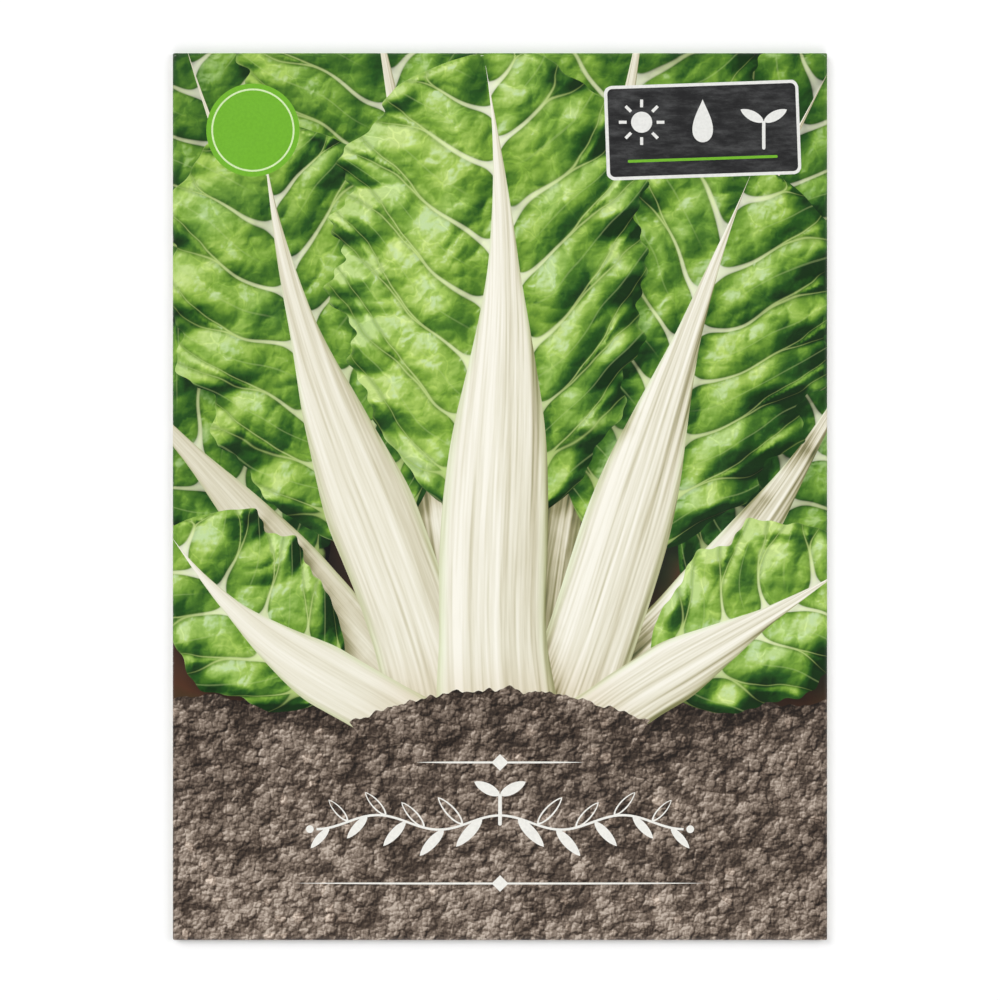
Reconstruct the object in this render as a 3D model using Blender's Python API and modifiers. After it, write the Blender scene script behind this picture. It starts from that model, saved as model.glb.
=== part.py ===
# A paper seed packet, lying on its back with the printed front up and its top towards +Y.
# The outer packet is one sheet: a front panel, two back panels folded in from the sides and lapped
# down the middle, and a flap folded over from each end. Glue holds the laps. Inside lies a sachet of
# two webs sealed round their edge, with the seeds in one layer between them.

import math
import random

import bmesh
import bpy

# Driving dimensions, in metres
packet_width = 0.118
packet_height = 0.160
paper = 0.00015
layer_gap = 0.0002
inner_room = 0.0007
lap = 0.005
lap_rise_start = -0.014
lap_rise_end = -0.007
bottom_flap = 0.016
top_flap = 0.026
flap_taper = 0.07

# The swell of the front over the seeds
pillow_height = 0.0010
heap_height = 0.0034
heap_reach = 0.040
edge_power = 2.6

# The sachet and its seeds
web = 0.00012
web_gap = 0.0003
web_clearance = 0.0002
sachet_width = 0.078
sachet_height = 0.106
sachet_bottom = -0.072
seal_width = 0.007
seal_blend = 0.010
seed_count = 48
seed_pitch = 0.0056
seed_width = (0.0034, 0.0046)
seed_flatness = (0.74, 0.9)
seed_clearance = 0.0001
heap_centre = (0.002, -0.026)
heap_stretch = 1.05
seed_draw = 41

# The glue strips, as width and length, with their centres along Y
glue = 0.00012
seam_glue = (0.007, 0.146)
bottom_glue = (0.100, 0.008)
top_glue = (0.096, 0.012)
bottom_glue_y = -0.0705
top_glue_y = 0.0640
glue_corner = 0.0015

# Heights of the middle of each layer of paper above the surface that the packet lies on
flap_level = paper / 2
back_level = flap_level + paper + layer_gap
lap_level = back_level + paper + layer_gap
front_level = lap_level + inner_room
back_web_level = lap_level + paper / 2 + layer_gap / 2 + web / 2
seal_level = back_web_level + web + web_gap

# Fold radii, and where the flat of the front panel ends
side_radius = (front_level - back_level) / 2
end_radius = (front_level - flap_level) / 2
half_width = packet_width / 2 - paper / 2 - side_radius
half_height = packet_height / 2 - paper / 2 - end_radius

sachet_centre_y = sachet_bottom + sachet_height / 2


def smooth_step(value, low, high):
    share = min(1.0, max(0.0, (value - low) / (high - low)))
    return share * share * (3 - 2 * share)


def evenly(low, high, count):
    return [low + (high - low) * step / count for step in range(1, count + 1)]


def make_material(name, colour, roughness, metallic=0.0):
    material = bpy.data.materials.new(name)
    material.use_nodes = True
    shader = material.node_tree.nodes["Principled BSDF"]
    shader.inputs["Base Color"].default_value = (*colour, 1.0)
    shader.inputs["Roughness"].default_value = roughness
    shader.inputs["Metallic"].default_value = metallic
    material.diffuse_color = (*colour, 1.0)
    return material


def add_object(name, mesh, material, collection, parent):
    mesh.materials.append(material)
    thing = bpy.data.objects.new(name, mesh)
    thing.parent = parent
    collection.objects.link(thing)
    return thing


def swell(x, y):
    """How far the front panel stands above its own edges."""
    across = max(0.0, 1 - abs(x / half_width) ** edge_power)
    along = max(0.0, 1 - abs(y / half_height) ** edge_power)
    from_heap = math.hypot(x - heap_centre[0], y - heap_centre[1]) / heap_reach
    return (pillow_height + heap_height / (1 + from_heap**4)) * across * along


def folded(distance, half, radius):
    """A point of the flat sheet after the fold at half: its offset from the centre line and its drop."""
    past = abs(distance) - half
    arc = math.pi * radius
    if past <= 0:
        return distance, 0.0
    side = math.copysign(1, distance)
    if past < arc:
        turn = past / radius
        return side * (half + radius * math.sin(turn)), radius * (1 - math.cos(turn))
    return side * (half - past + arc), 2 * radius


def packet_point(across, along):
    """Where a point of the flat sheet lies on the folded packet."""
    if abs(across) > half_width:
        x, drop = folded(across, half_width, side_radius)
        past_fold = abs(across) > half_width + math.pi * side_radius
        rises = across < 0 and past_fold
        rise = smooth_step(x, lap_rise_start, lap_rise_end) if rises else 0.0
        return x, along, front_level - drop + rise * (lap_level - back_level)
    if abs(along) > half_height:
        y, drop = folded(along, half_height, end_radius)
        flap_start = half_height + math.pi * end_radius
        flap_length = top_flap if along > 0 else bottom_flap
        share = max(0.0, abs(along) - flap_start) / flap_length
        return across * (1 - flap_taper * share), y, front_level - drop
    return across, along, front_level + swell(across, along)


def sheet_columns():
    """Stations across the flat sheet, from the lapped edge round to the other back panel's edge."""
    fold_end = half_width + math.pi * side_radius
    plain_end = fold_end + half_width + lap_rise_start
    rise_end = fold_end + half_width + lap_rise_end
    panel_end = fold_end + half_width + lap
    left = evenly(half_width, fold_end, 4) + evenly(fold_end, plain_end, 3)
    left += evenly(plain_end, rise_end, 4) + [panel_end]
    right = evenly(half_width, fold_end, 4) + evenly(fold_end, panel_end, 4)
    front = [-half_width] + evenly(-half_width, half_width, 20)
    return [-station for station in reversed(left)] + front + right


def sheet_rows():
    """Stations along the flat sheet, from the bottom flap's edge to the top flap's edge."""
    fold_end = half_height + math.pi * end_radius
    fold = evenly(half_height, fold_end, 4)
    bottom = fold + evenly(fold_end, fold_end + bottom_flap, 2)
    top = fold + evenly(fold_end, fold_end + top_flap, 3)
    front = [-half_height] + evenly(-half_height, half_height, 26)
    return [-station for station in reversed(bottom)] + front + top


def shaped_grid(columns, rows, place, keep=None):
    """A grid with its lines at the stations given, each point set by place, without what keep refuses."""
    bm = bmesh.new()
    bmesh.ops.create_grid(bm, x_segments=len(columns) - 1, y_segments=len(rows) - 1, size=1)
    spare = []
    for vertex in bm.verts:
        column = columns[round((vertex.co.x + 1) / 2 * (len(columns) - 1))]
        row = rows[round((vertex.co.y + 1) / 2 * (len(rows) - 1))]
        if keep and not keep(column, row):
            spare.append(vertex)
        else:
            vertex.co = place(column, row)
    bmesh.ops.delete(bm, geom=spare, context="VERTS")
    mesh = bpy.data.meshes.new("sheet")
    bm.to_mesh(mesh)
    bm.free()
    mesh.shade_smooth()
    mesh.set_sharp_from_angle(angle=math.radians(40))
    return mesh


def thicken(thing, thickness):
    solidify = thing.modifiers.new("Thickness", "SOLIDIFY")
    solidify.thickness = thickness
    solidify.offset = 0
    solidify.use_even_offset = True


def make_packet(material, collection, parent):
    def on_sheet(column, row):
        slack = 1e-9
        return abs(column) <= half_width + slack or abs(row) <= half_height + slack

    mesh = shaped_grid(sheet_columns(), sheet_rows(), packet_point, on_sheet)
    thicken(add_object("paper_packet", mesh, material, collection, parent), paper)


def inside_seal(x, y):
    """0 on the seal, rising to 1 over the seal's blend into the pocket."""
    to_side = sachet_width / 2 - abs(x)
    to_end = sachet_height / 2 - abs(y - sachet_centre_y)
    from_seal = min(to_side, to_end)
    return smooth_step(from_seal, seal_width, seal_width + seal_blend)


def front_web_height(x, y):
    """The middle of the sachet's front web, just under the front panel where the pocket is."""
    pocket = front_level + swell(x, y) - paper / 2 - web_clearance - web / 2
    return seal_level + (pocket - seal_level) * inside_seal(x, y)


def make_sachet(material, collection, parent):
    x_edge = sachet_width / 2
    y_edge = sachet_height / 2
    columns = [-x_edge] + evenly(-x_edge, x_edge, 14)
    rows = [sachet_centre_y - y_edge] + evenly(sachet_centre_y - y_edge, sachet_centre_y + y_edge, 18)
    front = shaped_grid(columns, rows, lambda x, y: (x, y, front_web_height(x, y)))
    back = shaped_grid([-x_edge, x_edge], [rows[0], rows[-1]], lambda x, y: (x, y, back_web_level))
    thicken(add_object("sachet_front_web", front, material, collection, parent), web)
    thicken(add_object("sachet_back_web", back, material, collection, parent), web)


def seed_places():
    """Where the seeds lie: the nearest places of a triangular grid to the middle of the heap."""
    reach = range(-8, 9)
    found = []
    for row in reach:
        for column in reach:
            x = (column + row % 2 / 2) * seed_pitch
            y = row * seed_pitch * math.sqrt(3) / 2
            found.append((math.hypot(x / heap_stretch, y), x + heap_centre[0], y + heap_centre[1]))
    return [(x, y) for _, x, y in sorted(found)[:seed_count]]


def seed_mesh(width, height, draw):
    """A corky cluster: a ball with a few soft lobes and a rough skin, flat enough to lie still."""
    bm = bmesh.new()
    bmesh.ops.create_icosphere(bm, subdivisions=2, radius=0.5)
    turn = draw.uniform(0, 2 * math.pi)
    lobes = draw.choice((2, 3, 3, 4))
    for vertex in bm.verts:
        angle = math.atan2(vertex.co.y, vertex.co.x) + turn
        lobed = 1 + 0.10 * math.cos(lobes * angle) * (1 - abs(2 * vertex.co.z))
        rough = draw.uniform(0.93, 1.0)
        vertex.co.x *= width * lobed * rough * 0.9
        vertex.co.y *= width * lobed * rough * 0.9
        vertex.co.z *= height * rough
    lowest = min(vertex.co.z for vertex in bm.verts)
    highest = max(vertex.co.z for vertex in bm.verts)
    for vertex in bm.verts:
        vertex.co.z = (vertex.co.z - lowest) * height / (highest - lowest)
    mesh = bpy.data.meshes.new("seed")
    bm.to_mesh(mesh)
    bm.free()
    mesh.shade_smooth()
    return mesh


def make_seeds(material, collection, parent):
    draw = random.Random(seed_draw)
    floor = back_web_level + web / 2 + seed_clearance
    shift = (seed_pitch - seed_width[1]) / 4
    for number, (x, y) in enumerate(seed_places(), 1):
        width = draw.uniform(*seed_width)
        place_x = x + draw.uniform(-shift, shift)
        place_y = y + draw.uniform(-shift, shift)
        corners = [(dx * width / 2, dy * width / 2) for dx in (-1, 0, 1) for dy in (-1, 0, 1)]
        ceiling = min(front_web_height(place_x + dx, place_y + dy) for dx, dy in corners)
        room = ceiling - web / 2 - layer_gap - floor
        height = min(width * draw.uniform(*seed_flatness), room)
        mesh = seed_mesh(width, height, draw)
        seed = add_object(f"seed_{number:02d}", mesh, material, collection, parent)
        seed.location = (place_x, place_y, floor)
        seed.rotation_euler = (0, 0, draw.uniform(0, 2 * math.pi))


def glue_strip(name, size, centre_y, level, material, collection, parent):
    """A thin strip of dried glue with rounded corners, midway between the two layers that it joins."""
    bm = bmesh.new()
    bmesh.ops.create_cube(bm, size=1)
    for vertex in bm.verts:
        vertex.co.x *= size[0]
        vertex.co.y *= size[1]
        vertex.co.z *= glue
    upright = [edge for edge in bm.edges if abs(edge.verts[0].co.z - edge.verts[1].co.z) > glue / 2]
    bmesh.ops.bevel(bm, geom=upright, offset=glue_corner, segments=3, affect="EDGES", profile=0.5)
    mesh = bpy.data.meshes.new(name)
    bm.to_mesh(mesh)
    bm.free()
    strip = add_object(name, mesh, material, collection, parent)
    strip.location = (0, centre_y, level)


def make_glue(material, collection, parent):
    seam_level = (back_level + lap_level) / 2
    flap_glue_level = (flap_level + back_level) / 2
    glue_strip("seam_glue", seam_glue, 0, seam_level, material, collection, parent)
    glue_strip("bottom_glue", bottom_glue, bottom_glue_y, flap_glue_level, material, collection, parent)
    glue_strip("top_glue", top_glue, top_glue_y, flap_glue_level, material, collection, parent)


def main():
    for thing in list(bpy.data.objects):
        bpy.data.objects.remove(thing)
    collection = bpy.data.collections.new("Seed packet")
    bpy.context.scene.collection.children.link(collection)
    base = bpy.data.objects.new("base", None)
    collection.objects.link(base)
    printed_paper = make_material("printed paper", (0.16, 0.30, 0.08), 0.38)
    sachet_foil = make_material("sachet laminate", (0.80, 0.80, 0.78), 0.42, 0.35)
    dried_glue = make_material("dried glue", (0.86, 0.83, 0.72), 0.5)
    seed_cork = make_material("seed cork", (0.42, 0.30, 0.17), 0.9)
    make_packet(printed_paper, collection, base)
    make_sachet(sachet_foil, collection, base)
    make_glue(dried_glue, collection, base)
    make_seeds(seed_cork, collection, base)


main()
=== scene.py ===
import math

import bpy
import numpy as np
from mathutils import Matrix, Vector, kdtree
from mathutils.geometry import delaunay_2d_cdt


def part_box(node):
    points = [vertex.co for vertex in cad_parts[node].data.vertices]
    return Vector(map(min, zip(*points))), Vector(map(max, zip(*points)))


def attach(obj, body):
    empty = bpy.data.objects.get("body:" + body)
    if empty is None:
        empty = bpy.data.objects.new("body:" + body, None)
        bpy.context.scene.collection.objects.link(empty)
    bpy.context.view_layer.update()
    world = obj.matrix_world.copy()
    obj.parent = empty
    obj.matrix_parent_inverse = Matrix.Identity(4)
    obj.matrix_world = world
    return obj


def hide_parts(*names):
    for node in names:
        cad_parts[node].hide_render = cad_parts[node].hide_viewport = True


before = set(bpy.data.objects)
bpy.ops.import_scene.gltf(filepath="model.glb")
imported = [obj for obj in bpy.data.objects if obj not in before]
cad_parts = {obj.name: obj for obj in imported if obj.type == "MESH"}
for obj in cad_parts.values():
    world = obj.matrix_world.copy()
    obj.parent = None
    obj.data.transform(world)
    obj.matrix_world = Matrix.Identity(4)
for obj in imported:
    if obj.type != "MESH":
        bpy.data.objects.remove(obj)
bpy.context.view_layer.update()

mm = 0.001
print("frame loaded:", len(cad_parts), "nodes")


# The camera looks straight down on the packet, as the photograph does
packetLow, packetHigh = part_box("paper_packet")
view = {
    "photoSide": 1000,              # pixels
    "outlineHeight": 887,           # the packet's height in the photograph, in pixels
    "outlineMiddle": (500, 496.6),
    "outlineLevel": 0.0008,         # the height of the packet's widest line over the floor
    "lens": 100,
    "sensor": 36,
}


def placeCamera():
    metresPerPixel = (packetHigh.y - packetLow.y) / view["outlineHeight"]
    half = view["photoSide"] / 2
    aimX = (half - view["outlineMiddle"][0]) * metresPerPixel
    aimY = (view["outlineMiddle"][1] - half) * metresPerPixel
    height = view["photoSide"] * metresPerPixel * view["lens"] / view["sensor"] + view["outlineLevel"]
    bpy.ops.object.camera_add(location=(aimX, aimY, height), rotation=(0, 0, 0))
    camera = bpy.context.object
    camera.data.lens = view["lens"]
    camera.data.sensor_width = view["sensor"]
    bpy.context.scene.camera = camera


placeCamera()


# The sheet that the packet is folded from, in millimetres. On the flat sheet, across runs over the
# front from left to right and on round the side folds, and along runs upwards.
packet = {
    "width": 118.0,
    "height": 160.0,
    "paper": 0.15,
    "layerGap": 0.2,
    "innerRoom": 0.7,
    "lap": 5.0,
    "lapRise": (-14.0, -7.0),       # where the left back panel climbs onto the right one
    "bottomFlap": 16.0,
    "topFlap": 26.0,
    "flapTaper": 0.07,
    "pillow": 1.0,
    "heap": 3.4,
    "heapReach": 40.0,
    "heapCentre": (2.0, -26.0),
    "edgePower": 2.6,
    "corner": 0.85,                 # how much of a quarter turn the paper keeps on at the corners
    "foldSteps": 8,
}
paper, layerGap = packet["paper"], packet["layerGap"]
flapLevel = paper / 2
backLevel = flapLevel + paper + layerGap
lapLevel = backLevel + paper + layerGap
frontLevel = lapLevel + packet["innerRoom"]
sideRadius = (frontLevel - backLevel) / 2
endRadius = (frontLevel - flapLevel) / 2
halfWidth = packet["width"] / 2 - paper / 2 - sideRadius
halfHeight = packet["height"] / 2 - paper / 2 - endRadius
sideFold = math.pi * sideRadius
endFold = math.pi * endRadius
panelEnd = halfWidth + sideFold + halfWidth + packet["lap"]
topEnd = halfHeight + endFold + packet["topFlap"]
bottomEnd = halfHeight + endFold + packet["bottomFlap"]
cornerAcross = packet["corner"] * sideFold / 2
cornerAlong = packet["corner"] * endFold / 2
frontBox = ((-halfWidth - sideFold / 2, -halfHeight - endFold / 2),
            (halfWidth + sideFold / 2, halfHeight + endFold / 2))


def foldPlaces(half, fold):
    return [half + fold * i / packet["foldSteps"] for i in range(packet["foldSteps"] + 1)]


sideSteps, endSteps = foldPlaces(halfWidth, sideFold), foldPlaces(halfHeight, endFold)

# Small unevenness of the front: seeds that press through, the sachet's edge and slow waves
uneven = {
    "seedDent": 0.16,
    "seedPitch": 3.6,
    "heapSize": (25.0, 23.0),
    "sachetHalf": (39.0, 53.0),
    "sachetMiddle": -19.0,
    "ridge": 0.09,
    "ridgeWidth": 1.2,
    "wave": 0.24,
    "wavePitch": 24.0,
    "ripple": 0.4,                  # a finer wave on it, as a share of its height
    "ripplePitch": 9.0,
    "flatTop": 0.85,                # how far the waves die down where the packet is thickest
    "flatEdge": 9.0,                # the width along the folds over which all of it dies down
}


def smooth(value, low, high):
    share = np.clip((value - low) / (high - low), 0, 1)
    return share * share * (3 - 2 * share)


# Gradient noise from about -0.7 to 0.7, the same on every run
def noise(x, y, seed=0.0):
    x, y = np.broadcast_arrays(np.asarray(x, float), np.asarray(y, float))
    column, row = np.floor(x), np.floor(y)
    fx, fy = x - column, y - row
    sx, sy = (f * f * f * (f * (f * 6 - 15) + 10) for f in (fx, fy))

    def corner(i, j):
        draw = np.sin((column + i) * 127.1 + (row + j) * 311.7 + seed * 74.7) * 43758.5453
        turn = (draw - np.floor(draw)) * 2 * math.pi
        return np.cos(turn) * (fx - i) + np.sin(turn) * (fy - j)

    low = corner(0, 0) * (1 - sx) + corner(1, 0) * sx
    high = corner(0, 1) * (1 - sx) + corner(1, 1) * sx
    return low * (1 - sy) + high * sy


def swell(x, y):
    sideways = np.clip(1 - np.abs(x / halfWidth) ** packet["edgePower"], 0, 1)
    endways = np.clip(1 - np.abs(y / halfHeight) ** packet["edgePower"], 0, 1)
    heapX, heapY = packet["heapCentre"]
    fromHeap = np.hypot(x - heapX, y - heapY) / packet["heapReach"]
    return (packet["pillow"] + packet["heap"] / (1 + fromHeap ** 4)) * sideways * endways


def crumple(x, y):
    u = uneven
    heapX, heapY = packet["heapCentre"]
    fromHeap = np.hypot((x - heapX) / u["heapSize"][0], (y - heapY) / u["heapSize"][1])
    overHeap = 1 - smooth(fromHeap, 0.7, 1.1)
    dents = noise(x / u["seedPitch"], y / u["seedPitch"], 3) - 0.6
    sachetX, sachetY = u["sachetHalf"]
    fromEdge = np.minimum(sachetX - np.abs(x), sachetY - np.abs(y - u["sachetMiddle"]))
    ridge = np.exp(-(fromEdge / u["ridgeWidth"]) ** 2) - 0.3
    ripple = u["ripple"] * noise(x / u["ripplePitch"], y / u["ripplePitch"], 9)
    slow = noise(x / u["wavePitch"] + 5, y / u["wavePitch"], 8) + ripple - 0.15
    calm = 1 - u["flatTop"] * swell(x, y) / (packet["pillow"] + packet["heap"])
    edge = u["flatEdge"]
    inside = smooth(halfWidth - np.abs(x), 0, edge) * smooth(halfHeight - np.abs(y), 0, edge)
    return inside * (u["seedDent"] * dents * overHeap + u["ridge"] * ridge * calm + u["wave"] * slow * calm)


# A distance on the flat sheet after the fold at half, and how far it drops
def folded(distance, half, radius):
    past = np.abs(distance) - half
    arc = math.pi * radius
    side = np.sign(distance)
    turn = np.clip(past / radius, 0, math.pi)
    onArc = side * (half + radius * np.sin(turn))
    place = np.where(past <= 0, distance, np.where(past < arc, onArc, side * (half - past + arc)))
    return place, radius * (1 - np.cos(turn))


# Where the middle of the paper lies on the folded packet
def middleOfPaper(across, along):
    x, dropSide = folded(across, halfWidth, sideRadius)
    y, dropEnd = folded(along, halfHeight, endRadius)
    onFront = (np.abs(across) <= halfWidth) & (np.abs(along) <= halfHeight)
    z = frontLevel - dropSide - dropEnd + np.where(onFront, swell(across, along) + crumple(across, along), 0)
    onLeftPanel = across < -(halfWidth + sideFold)
    z = z + np.where(onLeftPanel, smooth(x, *packet["lapRise"]) * (lapLevel - backLevel), 0)
    flap = np.where(along > 0, packet["topFlap"], packet["bottomFlap"])
    pastFold = np.clip(np.abs(along) - halfHeight - endFold, 0, None) / flap
    return np.stack([x * (1 - packet["flapTaper"] * pastFold), y, z], -1)


# Points of the flat sheet on the folded packet, moved outwards from the paper's middle, in metres
def onPaper(points, offset):
    step = 0.04
    across, along = points[:, 0], points[:, 1]
    sideways = middleOfPaper(across + step, along) - middleOfPaper(across - step, along)
    upwards = middleOfPaper(across, along + step) - middleOfPaper(across, along - step)
    outward = np.cross(sideways, upwards)
    outward /= np.linalg.norm(outward, axis=1, keepdims=True)
    return (middleOfPaper(across, along) + outward * offset) * mm


# Rings of points on the flat sheet, which bound what is printed
def ringInside(points, ring):
    turns = np.zeros(len(points), int)
    px, py = points[:, 0], points[:, 1]
    for (ax, ay), (bx, by) in zip(ring, np.roll(ring, -1, 0)):
        left = (bx - ax) * (py - ay) - (px - ax) * (by - ay)
        turns += (ay <= py) & (by > py) & (left > 0)
        turns -= (ay > py) & (by <= py) & (left < 0)
    return turns != 0


# The distance to a ring, positive inside it
def ringDistance(points, ring):
    best = np.full(len(points), 1e9)
    for a, b in zip(ring, np.roll(ring, -1, 0)):
        run = b - a
        share = np.clip(((points - a) @ run) / max(run @ run, 1e-12), 0, 1)
        best = np.minimum(best, np.hypot(*(points - a - share[:, None] * run).T))
    return np.where(ringInside(points, ring), best, -best)


def cutToBox(ring, low, high):
    for axis in (0, 1):
        for limit, sign in ((low[axis], 1), (high[axis], -1)):
            kept = []
            for a, b in zip(ring, np.roll(ring, -1, 0)):
                inA, inB = sign * (a[axis] - limit) >= 0, sign * (b[axis] - limit) >= 0
                if inA:
                    kept.append(a)
                if inA != inB:
                    kept.append(a + (b - a) * (limit - a[axis]) / (b[axis] - a[axis]))
            ring = np.array(kept).reshape(-1, 2)
            if len(ring) < 3:
                return ring
    return ring


# A ring with points put in, so that none are further apart than step
def spaced(ring, step):
    made = []
    for a, b in zip(ring, np.roll(ring, -1, 0)):
        count = max(1, math.ceil(np.hypot(*(b - a)) / step))
        made += [a + (b - a) * i / count for i in range(count)]
    return np.array(made)


def turned(ring, degrees):
    c, s = math.cos(math.radians(degrees)), math.sin(math.radians(degrees))
    return np.asarray(ring, float) @ np.array([[c, s], [-s, c]])


def roundedBox(x, y, width, height, radius, turn=0.0, steps=7):
    ring = []
    for cornerX, cornerY, start in ((1, 1, 0), (-1, 1, 90), (-1, -1, 180), (1, -1, 270)):
        for i in range(steps):
            angle = math.radians(start + 90 * i / (steps - 1))
            ring.append((cornerX * (width / 2 - radius) + radius * math.cos(angle),
                         cornerY * (height / 2 - radius) + radius * math.sin(angle)))
    return turned(ring, turn) + (x, y)


def disc(x, y, radius, steps=72):
    angles = np.arange(steps) * 2 * math.pi / steps
    return np.stack([x + radius * np.cos(angles), y + radius * np.sin(angles)], -1)


# A ring round a row of places along x, half wide to both sides and closed at its ends
def ringAround(x, half, level=0.0):
    return np.concatenate([np.stack([x, level - half], -1), np.stack([x, level + half], -1)[-2:0:-1]])


# A leaf shape from (0, 0) to (length, 0), round at the foot and pointed at the tip
def almond(length, width, steps=16):
    t = np.linspace(0, 1, steps)
    return ringAround(t * length, width / 2 * 1.9 * t ** 0.7 * (1 - t) ** 0.8)


# A line of even width along a row of points
def stroke(points, width):
    points = np.asarray(points, float)
    run = np.gradient(points, axis=0)
    run /= np.linalg.norm(run, axis=1, keepdims=True)
    left = np.stack([-run[:, 1], run[:, 0]], -1) * width / 2
    return np.concatenate([points - left, (points + left)[::-1]])


# A ring moved inwards, for a line just inside a round-cornered shape
def band(ring, inset):
    middle = (ring.max(0) + ring.min(0)) / 2
    half = (ring.max(0) - ring.min(0)) / 2
    return middle + (ring - middle) * (half - inset) / half


# The picture on the front: chard growing in a bed. Every leaf has a spine from its foot in the soil
# to its tip, a stalk that runs on as the midrib, and a blade on both sides of it.
# tone goes from 0, far and dark, to 1, near and bright.
leaves = [
    dict(seed=1, spine=[(-8, -38), (-18, 4), (-44, 36), (-58, 86)], blade=25, stalk=5.0, tone=0.14),
    dict(seed=2, spine=[(8, -38), (22, 2), (40, 40), (62, 82)], blade=25, stalk=5.0, tone=0.18),
    dict(seed=3, spine=[(-14, -38), (-32, -20), (-50, 4), (-78, 30)], blade=20, stalk=5.4, tone=0.26),
    dict(seed=4, spine=[(14, -38), (38, -20), (52, 0), (70, 34)], blade=20, stalk=5.4, tone=0.22),
    dict(seed=5, spine=[(-3, -38), (-12, 10), (-14, 56), (-26, 102)], blade=25, stalk=6.4, tone=0.34),
    dict(seed=6, spine=[(4, -38), (8, 14), (22, 54), (28, 103)], blade=25, stalk=6.4, tone=0.30),
    dict(seed=9, spine=[(-11, -40), (-17, -8), (-38, 20), (-43, 67)], blade=22, stalk=8.0, tone=0.56),
    dict(seed=10, spine=[(11, -40), (22, -12), (28, 18), (46, 60)], blade=22, stalk=8.0, tone=0.62),
    dict(seed=11, spine=[(0, -42), (-5, -6), (6, 30), (-3, 80)], blade=26, stalk=9.6, tone=0.76),
    dict(seed=12, spine=[(-14, -43), (-24, -34), (-44, -30), (-60, -6)], blade=14, stalk=5.6, tone=0.74),
    dict(seed=13, spine=[(14, -43), (26, -33), (38, -28), (64, -12)], blade=14, stalk=5.6, tone=0.80),
]
leafForm = {
    "neck": 0.33,                   # where the blade starts, as a share of the leaf's length
    "bladePowers": (0.84, 0.46),    # how fast it widens from the neck and closes at the tip
    "narrows": (0.60, 0.32, 0.70),  # how much of the stalk's width goes, and between which shares
    "thins": (0.398, 0.52, 0.985),
    "foot": 0.14,                   # how much wider the stalk's foot is, and over which share
    "footShare": 0.14,
    "knobbly": 0.05,                # how far the stalk's width varies
    "lopsided": 0.10,               # how far the two halves of the blade differ
    "margin": 0.16,                 # the waves of the margin, as shares of its distance, and their lengths
    "marginLength": 8,
    "ruffle": 0.070,
    "ruffleLength": 13.0,
    "crinkle": 0.020,
    "crinkleLength": 3.6,
    "veinPitch": 12.0,
    "veinSlope": 0.60,
    "veinCurve": 0.013,
    "veinWobble": 5.0,
    "fineWobble": 1.2,
    "fork": 0.27,                   # how far the two ends of a forked vein part, in vein pitches
}
# How high a blade's forms stand towards the eye and how long they are, in millimetres
bladeRelief = {
    "pillow": 1.9,
    "groove": 0.12,                 # how round the pillows meet in a vein, in half vein pitches
    "unlike": 0.7,                  # how far one pillow differs from the next
    "bend": 3.4,
    "fold": 2.5,
    "foldLengths": (12.0, 10.0),
    "blister": 1.1,
    "blisterLength": 6.5,
    "fineBlister": 0.32,
    "fineLength": 3.0,
    "frill": 2.6,
    "frillLength": 12.5,
    "arch": 0.010,
    "curl": 3.6,
    "slopeStep": 0.3,               # the distance over which its slopes are measured
    "gloss": 16,                    # how small the highlights on it are
}
# The light in the picture comes from the upper left
light = np.array([-0.50, 0.58, 0.80])
light /= np.linalg.norm(light)


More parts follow.
